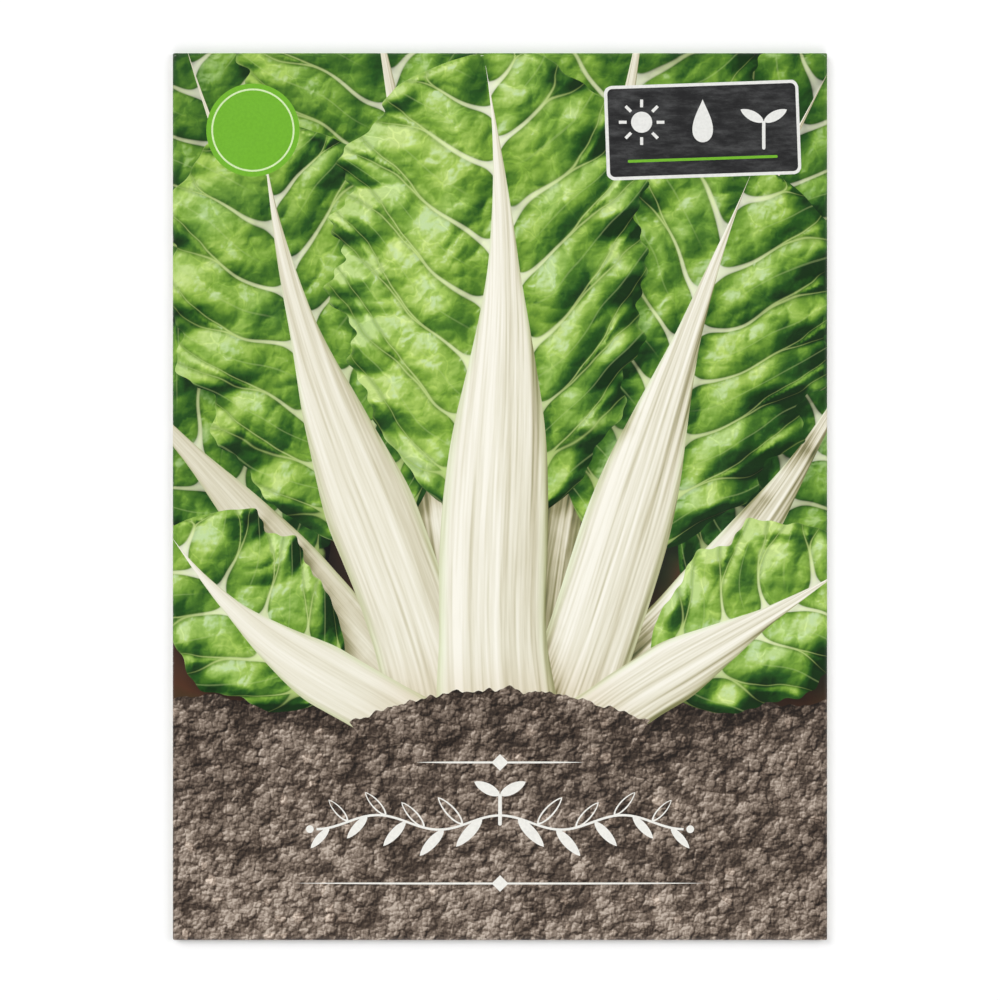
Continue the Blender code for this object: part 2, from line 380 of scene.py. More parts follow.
class Leaf:
    def __init__(self, seed, spine, blade, stalk, tone):
        self.seed, self.bladeWidth, self.stalkWidth, self.tone = seed, blade, stalk, tone
        a, b, c, d = (np.array(p, float) for p in spine)
        t = np.linspace(0, 1, 260)[:, None]
        self.spine = (1 - t) ** 3 * a + 3 * (1 - t) ** 2 * t * b + 3 * (1 - t) * t ** 2 * c + t ** 3 * d
        self.along = np.concatenate([[0], np.cumsum(np.hypot(*np.diff(self.spine, axis=0).T))])
        self.length = self.along[-1]
        run = np.gradient(self.spine, axis=0)
        self.run = run / np.linalg.norm(run, axis=1, keepdims=True)

    # Half widths at a share v of the leaf's length; side is -1 on the right and 1 on the left
    def stalkHalf(self, v):
        f = leafForm
        narrow, thin = f["narrows"], f["thins"]
        width = 1 - narrow[0] * smooth(v, *narrow[1:]) - thin[0] * smooth(v, *thin[1:])
        width = width * (1 + f["foot"] * (1 - smooth(v, 0, f["footShare"])))
        return self.stalkWidth * width * (1 + f["knobbly"] * noise(v * 7, self.seed, 60))

    def bladeHalf(self, v, side):
        f = leafForm
        share = np.clip((v - f["neck"]) / (1 - f["neck"]), 0, 1)
        a, b = f["bladePowers"]
        widest = a / (a + b)
        form = share ** a * (1 - share) ** b / (widest ** a * (1 - widest) ** b)
        s = v * self.length
        wave = f["ruffle"] * np.sin(s * 2 * math.pi / f["ruffleLength"] + self.seed * 1.7 + side)
        wave = wave + f["margin"] * noise(s / f["marginLength"], side * 3.1 + self.seed, self.seed)
        wave = wave + f["crinkle"] * np.sin(s * 2 * math.pi / f["crinkleLength"] + side * 2 + self.seed)
        wide = 1 + f["lopsided"] * math.sin(self.seed * 2.3 + 1.9 * side)
        return self.stalkHalf(v) + self.bladeWidth * wide * form * (1 + wave)

    # Rows that are known at every point of the spine, such as its directions, at distances s along it
    def atSpine(self, rows, s):
        return np.stack([np.interp(s, self.along, rows[:, i]) for i in (0, 1)], -1)

    def sides(self, half, low, high, count):
        v = np.linspace(low, high, count)
        at, run = (self.atSpine(rows, v * self.length) for rows in (self.spine, self.run))
        left = np.stack([-run[:, 1], run[:, 0]], -1)
        return np.concatenate([at - left * half(v, -1)[:, None], (at + left * half(v, 1)[:, None])[::-1]])

    def bladeRing(self):
        return self.sides(self.bladeHalf, leafForm["neck"] - 0.015, 0.9995, int(self.length / 0.55))

    def stalkRing(self):
        return self.sides(lambda v, side: self.stalkHalf(v), 0.0, 0.98, int(self.length / 1.2))

    # How much the stalk's left side turns to the light
    def leftLit(self, s):
        run = self.atSpine(self.run, s)
        return -run[:, 1] * light[0] + run[:, 0] * light[1]

    # How far along the spine points lie, and how far to its left
    def places(self, points):
        nearest = np.empty(len(points), int)
        for start in range(0, len(points), 4000):
            part = points[start:start + 4000]
            apart = (part[:, None, 0] - self.spine[None, :, 0]) ** 2
            apart += (part[:, None, 1] - self.spine[None, :, 1]) ** 2
            nearest[start:start + 4000] = apart.argmin(1)
        gap, run = points - self.spine[nearest], self.run[nearest]
        return self.along[nearest] + (gap * run).sum(1), run[:, 0] * gap[:, 1] - run[:, 1] * gap[:, 0]

    # Counts the side veins: it is half way between whole numbers on a vein
    def phase(self, s, t):
        f = leafForm
        out = np.abs(t)
        pitch = f["veinPitch"] * (0.60 + 0.40 * self.bladeWidth / 25)
        wobble = f["veinWobble"] * noise(s / 23, t / 17, self.seed + 40)
        wobble += f["fineWobble"] * noise(s / 8, t / 8, self.seed + 50)
        start = s - f["veinSlope"] * out - f["veinCurve"] * out ** 2 + wobble
        return start / pitch + np.where(t > 0, 0.42, 0.0)

    # How far the two arms of a vein have parted at a share u of the way to the margin
    def fork(self, u, phase):
        late = 0.16 * noise(np.floor(phase) * 1.7, self.seed, 70)
        return leafForm["fork"] * smooth(u - late, 0.46, 1.12)

    # How far the blade bulges towards the eye, in millimetres
    def height(self, s, t):
        b, seed = bladeRelief, self.seed
        v = s / self.length
        half = self.bladeHalf(v, 1) * (t > 0) + self.bladeHalf(v, -1) * (t <= 0)
        u = np.clip(np.abs(t) / np.maximum(half, 0.5), 0, 1.2)
        phase = self.phase(s, t)
        fromVein = 2 * (np.abs(phase - np.floor(phase) - 0.5) - self.fork(u, phase))
        fromVein = np.sqrt(fromVein ** 2 + b["groove"] ** 2)
        unlike = 1 + b["unlike"] * noise(s / 16, t / 16, seed + 5)
        pillow = b["pillow"] * (1 - (1 - fromVein) ** 2.0) * unlike * (1 - 0.3 * u)
        pillow = pillow * smooth(np.abs(t) - self.stalkHalf(v), 0, 7)
        bend = b["bend"] * noise(s / 12, t / 12, seed + 3)
        long, wide = b["foldLengths"]
        folds = b["fold"] * noise((s + bend) / long, (t - bend) / wide, seed + 7)
        large, small = b["blisterLength"], b["fineLength"]
        blisters = b["blister"] * np.abs(noise((s + bend) / large, t / large, seed + 11))
        blisters += b["fineBlister"] * np.abs(noise(s / small, (t + bend) / small, seed + 12))
        turn = s * 2 * math.pi / b["frillLength"] + seed + 1.8 * noise(s / 14, t / 14, seed)
        frill = b["frill"] * np.sin(turn) * smooth(u, 0.5, 1.05)
        droop = -b["arch"] * t ** 2 - b["curl"] * smooth(u, 0.8, 1.15)
        return pillow + folds + blisters + frill + droop


# Each panel's sign and shift across the flat sheet. The back panels are drawn as they are seen from behind.
panelTurn = 2 * halfWidth + sideFold
panels = {"front": (1, 0), "right": (-1, panelTurn), "left": (-1, -panelTurn)}


# Rings in the order that they are printed, each with its ink and what the ink needs to know
class Picture:
    def __init__(self):
        self.rings, self.inks, self.facts = [], [], []
        self.panel = "front"

    def on(self, panel):
        self.panel = panel
        return self

    # fine is the longest step along the ring, in millimetres, and box is what it is cut to
    def add(self, ring, ink, fine, box=None, **facts):
        sign, shift = panels[self.panel]
        ring = np.asarray(ring, float) * (sign, 1) + (shift, 0)
        if box is not None:
            ring = cutToBox(ring, *box)
        if len(ring) > 2:
            self.rings.append(spaced(ring, fine))
            self.inks.append(ink)
            self.facts.append(facts)

    def flat(self, ring, colour, fine):
        self.add(ring, "flat", fine, colour=colour)


bed = {
    "level": -36.5,
    "rough": 2.4,
    "crumbs": 0.6,
    "moundWidth": 27.0,
    "moundHeight": 6.0,
    "moundDrop": 4.0,
}
badge = {
    "at": (-44.5, 66.0),
    "radius": 8.4,
    "ring": 0.9,                    # how far inside the badge's edge the thin ring lies
    "ringWidth": 0.32,
    "colour": (0.155, 0.42, 0.024),
    "line": (0.62, 0.78, 0.42),
}
slate = {
    "at": (36.5, 66.0),
    "size": (35, 17),
    "corner": 1.3,
    "turn": 2.0,
    "border": 0.55,
    "chalk": 0.16,                  # how far the chalk line wanders
    "line": (0.74, 0.74, 0.71),
    "dust": ((0.013, 0.013, 0.014), (0.070, 0.071, 0.072)),
    "specks": (0.30, 0.30, 0.29),
}
garland = {
    "at": (0, -58.5),
    "reach": 33.0,
    "wave": 1.3,
    "waveLength": 22.0,
    "stem": 0.42,
    "leaves": 9,
    "leafSize": (7.0, 2.9),
    "firstLeaf": 3.2,
    "shrink": 0.035,                # how much smaller each leaf is than the one before
    "lean": 48,
    "line": 0.38,
    "colour": (0.80, 0.79, 0.74),
}
rules = {"y": (-47.6, -69.6), "reach": (15.0, 37.0), "width": 0.36, "diamond": 1.5}
pictograms = {"sun": 1.9, "rays": (2.7, 4.1), "rayWidth": 0.55, "drop": (2.6, 3.9), "sprout": 8.6}


def drawSprout(picture, x, y, size, colour):
    picture.flat(roundedBox(x, y - 0.2 * size, 0.07 * size, 0.6 * size, 0.03 * size, steps=3), colour, 1.0)
    leaf = turned(almond(0.55 * size, 0.30 * size), 28)
    for side in (-1, 1):
        picture.flat(leaf * (side, 1) + (x, y + 0.08 * size), colour, 0.6)


# A sun, a drop and a seedling side by side
def drawPictograms(picture, x, y, colour, gap=11.0):
    p = pictograms
    picture.flat(disc(x - gap, y, p["sun"], 40), colour, 0.5)
    for ray in range(8):
        away = turned([(reach, 0) for reach in p["rays"]], 45 * ray)
        picture.flat(stroke(away + (x - gap, y), p["rayWidth"]), colour, 0.5)
    turn = np.linspace(0, 2 * math.pi, 49)[:-1]
    halfDrop, dropHeight = p["drop"]
    drop = np.stack([halfDrop * np.sin(turn) * np.sin(turn / 2) ** 1.4, dropHeight * np.cos(turn)], -1)
    picture.flat(drop + (x, y + 0.3), colour, 0.4)
    drawSprout(picture, x + gap, y - 0.6, p["sprout"], colour)


def drawSlate(picture):
    (x, y), (width, height), turn = slate["at"], slate["size"], slate["turn"]
    ring = roundedBox(x, y, width, height, slate["corner"], turn)
    wander = np.stack([noise(ring[:, 0] * 1.3, ring[:, 1] * 1.3, 5), noise(ring[:, 1], ring[:, 0], 6)], -1)
    picture.flat(ring + slate["chalk"] * wander, slate["line"], 1.0)
    width, height = width - 2 * slate["border"], height - 2 * slate["border"]
    picture.add(roundedBox(x, y, width, height, slate["corner"] * 0.7, turn), "slate", 1.5)
    drawPictograms(picture, x, y + 1.4, slate["line"])
    picture.flat(roundedBox(x, y - 5.2, 27, 0.5, 0.2, turn, 3), badge["colour"], 1.5)


# A waving stem whose leaves are in turn filled and hollow
def drawGarland(picture):
    g = garland
    x, y = g["at"]

    def stem(t):
        return y + g["wave"] * np.cos(t * 2 * math.pi / g["waveLength"])

    line = np.linspace(-g["reach"], g["reach"], 90)
    picture.flat(stroke(np.stack([x + line, stem(line)], -1), g["stem"]), g["colour"], 0.8)
    for number in range(g["leaves"]):
        start = g["firstLeaf"] + number * (g["reach"] - 5.5) / (g["leaves"] - 1)
        shrink = 1 - g["shrink"] * number
        leaf = turned(almond(*(size * shrink for size in g["leafSize"])), g["lean"])
        hollow = almond(*((size - 2.4 * g["line"]) * shrink for size in g["leafSize"]))
        hollow = turned(hollow + (g["line"] * 1.3, 0), g["lean"])
        up = 1 if number % 2 else -1
        for side in (-1, 1):
            foot = (x + side * start, stem(start))
            picture.flat(leaf * (side, up) + foot, g["colour"], 0.6)
            if number % 2:
                picture.add(hollow * (side, up) + foot, "soil", 0.6)
    for side in (-1, 1):
        picture.flat(disc(x + side * (g["reach"] + 1.2), stem(g["reach"]), 0.7, 20), g["colour"], 0.5)
    drawSprout(picture, x, y + 4.2, 9.5, g["colour"])


def drawRules(picture):
    size = rules["diamond"]
    diamond = np.array([(0, -size), (size, 0), (0, size), (-size, 0)])
    for level, reach in zip(rules["y"], rules["reach"]):
        t = np.linspace(-reach, reach, 40)
        half = rules["width"] / 2 * (1 - (t / reach) ** 4)
        picture.flat(ringAround(t, half, level), garland["colour"], 1.0)
        picture.flat(diamond + (0, level), garland["colour"], 0.6)


def drawFront(picture):
    low, high = frontBox
    picture.add([low, (high[0], low[1]), high, (low[0], high[1])], "backdrop", 4.0)
    x = np.linspace(low[0], high[0], 240)
    hill = bed["level"] + bed["rough"] * (noise(x / 15, 0, 21) + 0.55 * noise(x / 4.5, 0, 22))
    hill += bed["crumbs"] * noise(x / 1.6, 0, 23)
    picture.add(np.concatenate([np.stack([x, hill], -1), [(high[0], low[1]), low]]), "soil", 1.0)
    for facts in leaves:
        leaf = Leaf(**facts)
        picture.add(leaf.bladeRing(), "leaf", 0.6, frontBox, leaf=leaf)
        picture.add(leaf.stalkRing(), "stalk", 0.9, frontBox, leaf=leaf)
    x = np.linspace(-bed["moundWidth"], bed["moundWidth"], 150)
    rise = bed["moundHeight"] * (1 - (x / bed["moundWidth"]) ** 2)
    mound = bed["level"] - bed["moundDrop"] + rise + 1.3 * noise(x / 3.2, 0, 31) + 0.8 * noise(x / 1.2, 0, 32)
    picture.add(np.concatenate([np.stack([x, mound], -1), [(20, -50), (-20, -50)]]), "soil", 0.7, mound=True)
    drawRules(picture)
    drawGarland(picture)
    radius, inner = badge["radius"], badge["radius"] - badge["ring"]
    for size, colour in ((radius, "colour"), (inner, "line"), (inner - badge["ringWidth"], "colour")):
        picture.flat(disc(*badge["at"], size), badge[colour], 1.0)
    drawSlate(picture)


# The back: a cream ground with a sowing calendar, a sowing diagram, ruled lines and pictograms
back = {
    "ground": (0.80, 0.78, 0.68),
    "green": (0.14, 0.33, 0.07),
    "brown": (0.13, 0.085, 0.055),
    "rule": (0.55, 0.56, 0.45),
    "pale": (0.62, 0.72, 0.42),
    "right": (30.0, 44.0),          # the middle and width of the print on a panel
    "left": (-37.0, 36.0),
    "header": 47,                   # heights over the packet's middle
    "calendar": 34,
    "sowing": 27,
    "lines": 5,
    "pictograms": -46,
    "rows": 8,
    "rowPitch": 5.4,
    "sown": (3, 4, 5),              # months of the calendar, from 0
    "picked": (5, 6, 7, 8, 9),
}


def drawCalendar(picture, middle, width, level):
    box = width / 6
    for month in range(12):
        x, y = middle + (2.5 - month % 6) * box, level - (month // 6) * 9.5
        picture.flat(roundedBox(x, y, box - 0.8, 8, 0.8), back["pale"], 2.0)
        for months, lift, colour in ((back["sown"], 1.7, "green"), (back["picked"], -1.7, "brown")):
            if month in months:
                picture.flat(roundedBox(x, y + lift, box - 1.6, 2.4, 0.6), back[colour], 2.0)


# Three seedlings in a bed, with the seed that each grew from below
def drawSowing(picture, middle, width, level):
    border = roundedBox(middle, level, width, 29, 1.5)
    picture.flat(border, back["green"], 3.0)
    picture.flat(band(border, 0.5), back["ground"], 3.0)
    picture.flat(roundedBox(middle, level - 8.5, width - 3, 9, 0.8), back["brown"], 3.0)
    for step in (-1, 0, 1):
        x = middle + step * width / 3.6
        drawSprout(picture, x, level + 0.2, 9, back["green"])
        picture.flat(disc(x, level - 8, 1.1, 24), back["pale"], 1.0)


def drawBack(picture):
    for panel in ("right", "left"):
        middle, width = back[panel]
        picture.on(panel).flat(roundedBox(middle, back["header"], width, 6, 1.2), back["green"], 3.0)
        for number in range(back["rows"]):
            level = back["lines"] - number * back["rowPitch"]
            picture.flat(roundedBox(middle, level, width, 0.35, 0.1, steps=2), back["rule"], 3.0)
    drawCalendar(picture.on("right"), *back["right"], back["calendar"])
    drawSowing(picture.on("left"), *back["left"], back["sowing"])
    drawPictograms(picture.on("right"), back["right"][0], back["pictograms"], back["green"], 13)
    picture.on("front")
    inner = endSteps[packet["foldSteps"] // 2]
    for side, outer, colour, line in ((1, topEnd, "green", "pale"), (-1, bottomEnd, "brown", "rule")):
        flap = np.array([(-halfWidth, inner), (halfWidth, inner), (halfWidth, outer), (-halfWidth, outer)])
        picture.flat(flap * (1, side), back[colour], 5.0)
        strip = roundedBox(0, side * (outer - 3), 2 * halfWidth - 14, 0.5, 0.2, steps=2)
        picture.flat(strip, back[line], 4.0)


# The outline of the flat sheet: the flaps and back panels part at the corners of the front
def sheetOutline():
    half = packet["foldSteps"] // 2
    w, h = halfWidth + cornerAcross, halfHeight + cornerAlong
    corner = [(panelEnd, halfHeight)] + [(x, halfHeight) for x in sideSteps[:half:-1]]
    corner += [(w, halfHeight), (w, (h + halfHeight) / 2), (w, h), ((w + halfWidth) / 2, h), (halfWidth, h)]
    corner += [(halfWidth, y) for y in endSteps[half + 1:]]
    ring = []
    for side, end, flapEnd in ((1, 1, topEnd), (-1, 1, topEnd), (-1, -1, bottomEnd), (1, -1, bottomEnd)):
        whole = corner + [(halfWidth, flapEnd)]
        ring += [(side * x, end * y) for x, y in (whole if side == end else whole[::-1])]
    return np.array(ring)


# How far apart the sheet's corners are, in millimetres
mesh = {
    "blade": 0.5,
    "plain": 2.2,
    "fold": 2.4,
    "outline": 1.0,
    "clear": 0.3,                   # how far loose points stay from rings and lines
    "merge": 0.004,                 # corners closer than this become one
}


# Rows of points along each fold and round each corner, which faces may not cross, so that they are round
def foldLines():
    def row(steps, reach, onCorner):
        turn = [v for v in steps[1:] if v < reach] + [reach] if onCorner else []
        middle = np.linspace(-steps[0], steps[0], 2 * round(steps[0] / mesh["fold"]))
        return np.array([-v for v in turn[::-1]] + list(middle) + turn)

    lines = []
    for side in (-1, 1):
        for x in sideSteps:
            y = row(endSteps, halfHeight + cornerAlong, x < halfWidth + cornerAcross)
            lines.append(np.stack([np.full(len(y), side * x), y], -1))
        for y in endSteps:
            x = row(sideSteps, halfWidth + cornerAcross, y < halfHeight + cornerAlong)
            lines.append(np.stack([x, np.full(len(x), side * y)], -1))
    for rise in np.linspace(*packet["lapRise"], 8):
        y = row(endSteps, 0, False)
        lines.append(np.stack([np.full(len(y), -2 * halfWidth - sideFold - rise), y], -1))
    return lines


def lattice(low, high, step):
    rows = np.arange(low[1], high[1], step * math.sqrt(3) / 2)
    columns = np.arange(low[0], high[0], step)
    x, y = np.meshgrid(columns, rows)
    return np.stack([(x + (np.arange(len(rows)) % 2)[:, None] * step / 2).ravel(), y.ravel()], -1)


# Loose points on the flat parts of the sheet, clear of its outline and folds
def plainPoints():
    points = lattice((-panelEnd, -bottomEnd), (panelEnd, topEnd), mesh["plain"])
    inside = ringDistance(points, sheetOutline()) > mesh["clear"]
    for axis, half, fold in ((0, halfWidth, sideFold), (1, halfHeight, endFold)):
        inside &= np.abs(np.abs(points[:, axis]) - half - fold / 2) > fold / 2 + mesh["clear"]
    return points[inside]


def treeOf(points):
    tree = kdtree.KDTree(len(points))
    for i, p in enumerate(points):
        tree.insert((*p, 0), i)
    tree.balance()
    return tree


# The points that lie further than gap from all fixed ones
def clearOf(points, fixed, gap):
    tree = treeOf(fixed)
    return points[[tree.find((*p, 0))[2] > gap for p in points]]


# Triangles over the outline whose edges follow the rings and lines, with the loose points as corners too
def triangulated(outline, rings, lines, loose):
    points, edges = [], []
    for row in [outline, *rings, *lines]:
        first = len(points)
        points += [Vector(p) for p in row]
        edges += [(first + i, first + i + 1) for i in range(len(row) - 1)]
        if not any(row is line for line in lines):
            edges.append((first + len(row) - 1, first))
    points += [Vector(p) for p in loose]
    corners, _, faces, _, _, _ = delaunay_2d_cdt(points, edges, [], 0, mesh["merge"], False)
    corners = np.array([tuple(c) for c in corners])
    faces = np.array([tuple(f) for f in faces])
    faces = faces[ringInside(corners[faces].mean(1), outline)]
    turn = np.cross(corners[faces[:, 1]] - corners[faces[:, 0]], corners[faces[:, 2]] - corners[faces[:, 0]])
    faces[turn < 0] = faces[turn < 0][:, ::-1]
    used, faces = np.unique(faces, return_inverse=True)
    return corners[used], faces.reshape(-1, 3)


# The corners round the edge of a sheet of triangles, in order
def borderRing(faces):
    edges = np.concatenate([faces[:, [0, 1]], faces[:, [1, 2]], faces[:, [2, 0]]]).tolist()
    found = set(map(tuple, edges))
    after = {a: b for a, b in found if (b, a) not in found}
    ring = [min(after)]
    while after[ring[-1]] != ring[0]:
        ring.append(after[ring[-1]])
    print("edge of the sheet:", len(ring), "corners of", len(after))
    return np.array(ring)


# The last printed ring that holds each point
def topRing(points, picture):
    found = np.full(len(points), -1)
    for number in range(len(picture.rings) - 1, -1, -1):
        ring = picture.rings[number]
        near = (found < 0) & (points >= ring.min(0)).all(1) & (points <= ring.max(0)).all(1)
        spots = np.flatnonzero(near)
        found[spots[ringInside(points[spots], ring)]] = number
    return found


# Printed shadows: the way to the light, between which distances they fade, and how far they reach
shadow = {"towards": (-1.7, 2.1), "soft": (-1.8, 2.2), "reach": 3}


# How much of the light the leaves and soil that are printed later take from these points
def castShadow(points, number, picture):
    shade = np.zeros(len(points))
    towards = points + shadow["towards"]
    own = picture.facts[number].get("leaf", picture)
    for above in range(number + 1, len(picture.rings)):
        leaf = picture.facts[above].get("leaf")
        moundOnLeaf = "mound" in picture.facts[above] and own is not picture
        if leaf is own or (leaf is None and not moundOnLeaf):
            continue
        ring = picture.rings[above][::2]
        low, high = ring.min(0) - shadow["reach"], ring.max(0) + shadow["reach"]
        near = ((towards > low) & (towards < high)).all(1)
        if near.any():
            cast = smooth(ringDistance(towards[near], ring), *shadow["soft"])
            shade[near] = np.maximum(shade[near], cast)
    return shade


# What the leaf's ink needs: the place on the leaf, and how the light falls there
def leafLight(leaf, points):
    s, t = leaf.places(points)
    v = np.clip(s / leaf.length, 0, 1)
    half = np.where(t > 0, leaf.bladeHalf(v, 1), leaf.bladeHalf(v, -1))
    step = bladeRelief["slopeStep"]
    here = leaf.height(s, t)
    slopes = [here - leaf.height(*leaf.places(points + aside)) for aside in ((step, 0), (0, step))]
    normal = np.stack([*slopes, np.full(len(s), step)], -1)
    normal /= np.linalg.norm(normal, axis=1, keepdims=True)
    halfway = light + (0, 0, 1)
    gloss = np.clip(normal @ (halfway / np.linalg.norm(halfway)), 0, 1) ** bladeRelief["gloss"]
    u, phase = t / np.maximum(half, 0.3), leaf.phase(s, t)
    place = np.stack([phase, np.abs(t) - leaf.stalkHalf(v), u], -1)
    return place, normal @ light, gloss, leaf.fork(np.abs(u), phase)


# For each corner of the print: its place, its light, its tone or colour, and its place for fine grain
def inkFacts(picture, points, numbers):
    place = np.concatenate([points, np.zeros((len(points), 1))], 1)
    lit, tone = np.zeros((2, len(points), 3))
    own = place.copy()
    for number in np.unique(numbers[numbers >= 0]):
        spots = np.flatnonzero(numbers == number)
        facts, ink = picture.facts[number], picture.inks[number]
        leaf = facts.get("leaf")
        once, index = np.unique(np.round(points[spots], 5), axis=0, return_inverse=True)
        index = index.reshape(-1)
        if ink in ("leaf", "stalk", "soil", "backdrop"):
            lit[spots, 2] = castShadow(once, number, picture)[index]
        if ink == "leaf":
            found, diffuse, gloss, fork = leafLight(leaf, once)
            place[spots] = found[index]
            tone[spots, 1] = fork[index]
            lit[spots, 0], lit[spots, 1] = diffuse[index], gloss[index]
        if ink == "stalk":
            s, t = leaf.places(once)
            half = leaf.stalkHalf(np.clip(s / leaf.length, 0, 1))
            place[spots] = np.stack([t / half, s, half], -1)[index]
            lit[spots, 0] = leaf.leftLit(s)[index]
        if leaf:
            tone[spots, 0] = leaf.tone
            own[spots, 2] = leaf.seed * 9.7         # so that no two leaves have the same grain
        if "colour" in facts:
            tone[spots] = facts["colour"]
    return {"printPlace": place, "printLight": lit, "printTone": tone, "printOwn": own}


# Where the flat sheet lies on the square that its colours are baked on: the front is the largest, then
# come the two back panels, the two flaps and the unprinted inside, and the cut edge in rows at the top
bake = {
    "front": {"at": (0.005, 0.005), "scale": 0.0056},
    "right": {"at": (0.680, 0.005), "scale": 0.0024},
    "left": {"at": (0.842, 0.005), "scale": 0.0024},
    "top": {"at": (0.680, 0.395), "scale": 0.0024},
    "bottom": {"at": (0.680, 0.470), "scale": 0.0024},
    "inside": {"at": (0.680, 0.530), "scale": 0.00125},
    "edge": {"at": (0.005, 0.915), "scale": 0.0048, "row": 200.0, "pitch": 0.012, "height": 0.009},
}


def onBake(name, places):
    return np.array(bake[name]["at"]) + places * bake[name]["scale"]


def bakePlaces(flat, faces, insideFlat, insideFaces, ring):
    x, y = flat[faces].mean(1).T
    foldX, foldY = halfWidth + sideFold / 2, halfHeight + endFold / 2
    outer = onBake("front", flat[faces] - (-foldX, -foldY))
    for name, own, low in (("right", x > foldX, (foldX, -halfHeight)),
                           ("left", x < -foldX, (-panelEnd, -halfHeight)),
                           ("top", y > foldY, (-halfWidth, foldY)),
                           ("bottom", y < -foldY, (-halfWidth, -bottomEnd))):
        outer[own] = onBake(name, flat[faces[own]] - low)
    inner = onBake("inside", insideFlat[insideFaces[:, ::-1]] * (-1, 1) + (panelEnd, bottomEnd))
    e = bake["edge"]
    run = np.hypot(*(np.roll(flat[ring], -1, 0) - flat[ring]).T)
    start = np.cumsum(run) - run
    row = np.floor(start / e["row"])
    u = e["at"][0] + (start - row * e["row"]) * e["scale"]
    v = e["at"][1] + row * e["pitch"]
    after, upper = u + run * e["scale"], v + e["height"]
    rim = np.stack([after, v, u, v, u, upper, after, upper], -1)
    return np.concatenate([outer.reshape(-1, 2), inner.reshape(-1, 2), rim.reshape(-1, 2)])


inks = ["backdrop", "leaf", "stalk", "soil", "slate", "flat", "backPrint", "insidePaper", "paperEdge"]


def buildSheet():
    picture = Picture()
    drawFront(picture)
    drawBack(picture)
    outline = spaced(sheetOutline(), mesh["outline"])
    fine = lattice(*frontBox, mesh["blade"])
    inBlade = np.zeros(len(fine), bool)
    for ring, ink in zip(picture.rings, picture.inks):
        if ink == "leaf":
            inBlade |= ringInside(fine, ring)
    plain, folds = plainPoints(), foldLines()
    fixed = np.concatenate([outline, *picture.rings, *folds])
    loose = clearOf(np.concatenate([fine[inBlade], plain]), fixed, mesh["clear"])
    flat, faces = triangulated(outline, picture.rings, folds, loose)
    print("print laid out:", len(picture.rings), "rings,", len(faces), "triangles")
    numbers = topRing(flat[faces].mean(1), picture)
    ring = borderRing(faces)
    insideFlat, insideFaces = triangulated(flat[ring], [], folds, plain[::2])
    tree = treeOf(insideFlat)
    twins = np.array([tree.find((*flat[i], 0))[1] for i in ring]) + len(flat)
    rim = [(b, a, c, d) for a, b, c, d in zip(ring, np.roll(ring, -1), twins, np.roll(twins, -1))]
    corners = np.concatenate([onPaper(flat, paper / 2), onPaper(insideFlat, -paper / 2)])
    made = bpy.data.meshes.new("packet_sheet")
    made.from_pydata(corners.tolist(), [], faces.tolist() + (insideFaces[:, ::-1] + len(flat)).tolist() + rim)
    slots = [inks.index(picture.inks[n] if n >= 0 else "backPrint") for n in numbers]
    slots += [inks.index("insidePaper")] * len(insideFaces) + [inks.index("paperEdge")] * len(rim)
    made.polygons.foreach_set("material_index", slots)
    unprinted = np.zeros((len(made.loops) - 3 * len(faces), 3))
    for name, values in inkFacts(picture, flat[faces].reshape(-1, 2), np.repeat(numbers, 3)).items():
        attribute = made.attributes.new(name, "FLOAT_VECTOR", "CORNER")
        attribute.data.foreach_set("vector", np.concatenate([values, unprinted]).ravel())
    bakeMap = made.uv_layers.new(name="OFBake")
    bakeMap.data.foreach_set("uv", bakePlaces(flat, faces, insideFlat, insideFaces, ring).ravel())
    made.shade_smooth()
    made.set_sharp_from_angle(angle=math.radians(35))
    sheet = bpy.data.objects.new("packet_sheet", made)
    bpy.context.scene.collection.objects.link(sheet)
    print("packet folded:", 2 * len(rim) + len(faces) + len(insideFaces), "triangles")
    return sheet


# What goes into a socket: a colour, a number or a place, or what another node works out
def link(socket, value):
    if isinstance(value, Field):
        value.tree.links.new(value.socket, socket)
    elif socket.type == "RGBA":
        socket.default_value = (*value, 1)
    else:
        socket.default_value = value


# A new node: values go into its inputs, in order or by their keys, and settings are the node's own
def newNode(tree, kind, values=(), output=0, **settings):
    node = tree.nodes.new("ShaderNode" + kind)
    for name, setting in settings.items():
        setattr(node, name, setting)
    for key, value in (values.items() if isinstance(values, dict) else enumerate(values)):
        link(node.inputs[key], value)
    return Field(tree, node.outputs[output])


